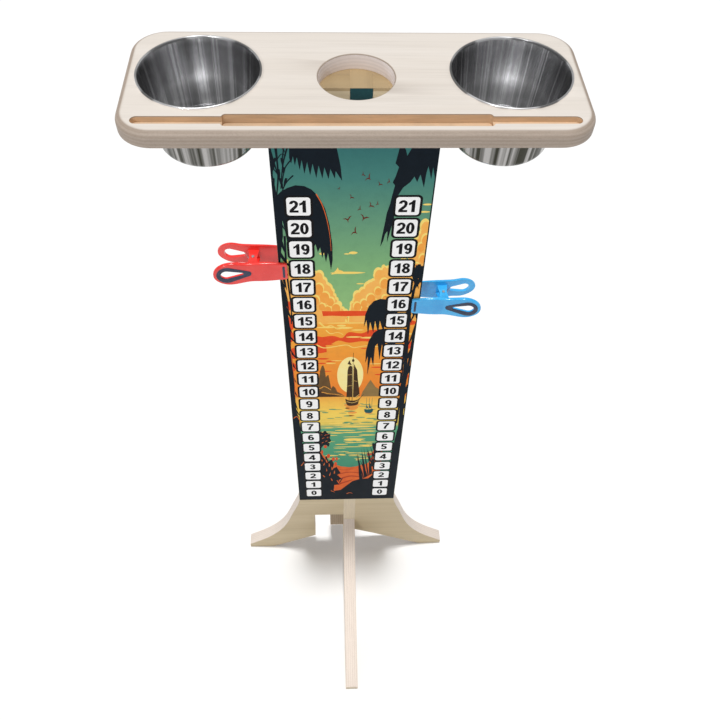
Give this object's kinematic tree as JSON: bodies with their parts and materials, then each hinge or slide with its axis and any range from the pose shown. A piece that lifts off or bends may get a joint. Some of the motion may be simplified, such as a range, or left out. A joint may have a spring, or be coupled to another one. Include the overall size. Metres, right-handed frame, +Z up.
{
  "type": "lawn game score tower",
  "caption": "Free-standing plywood score tower with a drinks tray, drop-in steel cups, a printed number scale and sliding spring clips.",
  "frame": {"origin": "on the ground, in the middle of the scoreboard's width and thickness", "axes": "+Z up, +X to the right of a player facing the scores, +Y to the back"},
  "size_m": [0.354, 0.49, 0.9169],
  "materials": {
    "birch_plywood": "sanded birch plywood, clear sealed",
    "tray_plywood": "pale birch plywood, sanded and sealed",
    "printed_vinyl": null,
    "cup_steel": "polished and brushed stainless steel",
    "screw_steel": "zinc plated steel",
    "clip_rubber": "dark slate soft grip rubber",
    "red_plastic": "glossy coral red plastic",
    "blue_plastic": "glossy sky blue plastic"
  },
  "bodies": {
    "tower": {"score_board": "birch_plywood", "cross_leg": "birch_plywood", "score_wrap": "printed_vinyl", "tray_top": "tray_plywood", "tray_cleat_left": "birch_plywood", "tray_cleat_right": "birch_plywood", "corner_block": "birch_plywood", "spine_screws": "screw_steel", "tray_screws": "screw_steel", "cleat_screws": "screw_steel", "block_screws": "screw_steel"},
    "left_cup": {"cup_left": "cup_steel"},
    "right_cup": {"cup_right": "cup_steel"},
    "red_clip": {"red_clip_back_shell": "red_plastic", "red_clip_back_pad": "clip_rubber", "red_clip_pin": "screw_steel", "red_clip_spring": "screw_steel"},
    "red_clip_jaw": {"red_clip_front_shell": "red_plastic", "red_clip_front_pad": "clip_rubber", "red_clip_finger_ring": "clip_rubber"},
    "blue_clip": {"blue_clip_back_shell": "blue_plastic", "blue_clip_back_pad": "clip_rubber", "blue_clip_pin": "screw_steel", "blue_clip_spring": "screw_steel"},
    "blue_clip_jaw": {"blue_clip_front_shell": "blue_plastic", "blue_clip_front_pad": "clip_rubber", "blue_clip_finger_ring": "clip_rubber"}
  },
  "joints": [
    {"name": "left_cup_lift", "type": "slide", "parent": "tower", "child": "left_cup", "axis": [0, 0, 1], "range_m": [0, 0.07]},
    {"name": "right_cup_lift", "type": "slide", "parent": "tower", "child": "right_cup", "axis": [0, 0, 1], "range_m": [0, 0.07]},
    {"name": "red_clip_slide", "type": "slide", "parent": "tower", "child": "red_clip", "axis": [0, 0, 1], "range_m": [-0.495, 0.082]},
    {"name": "blue_clip_slide", "type": "slide", "parent": "tower", "child": "blue_clip", "axis": [0, 0, 1], "range_m": [-0.44, 0.137]},
    {"name": "red_clip_squeeze", "type": "hinge", "parent": "red_clip", "child": "red_clip_jaw", "pos_m": [-0.098, 0, 0.696], "axis": [0, 0, -1], "range_deg": [0, 12], "stiffness_Nm_per_rad": 0.35, "springref_deg": -31.51, "deforming": ["red_clip_spring"]},
    {"name": "blue_clip_squeeze", "type": "hinge", "parent": "blue_clip", "child": "blue_clip_jaw", "pos_m": [0.098, 0, 0.641], "axis": [0, 0, 1], "range_deg": [0, 12], "stiffness_Nm_per_rad": 0.35, "springref_deg": -31.51, "deforming": ["blue_clip_spring"]}
  ]
}
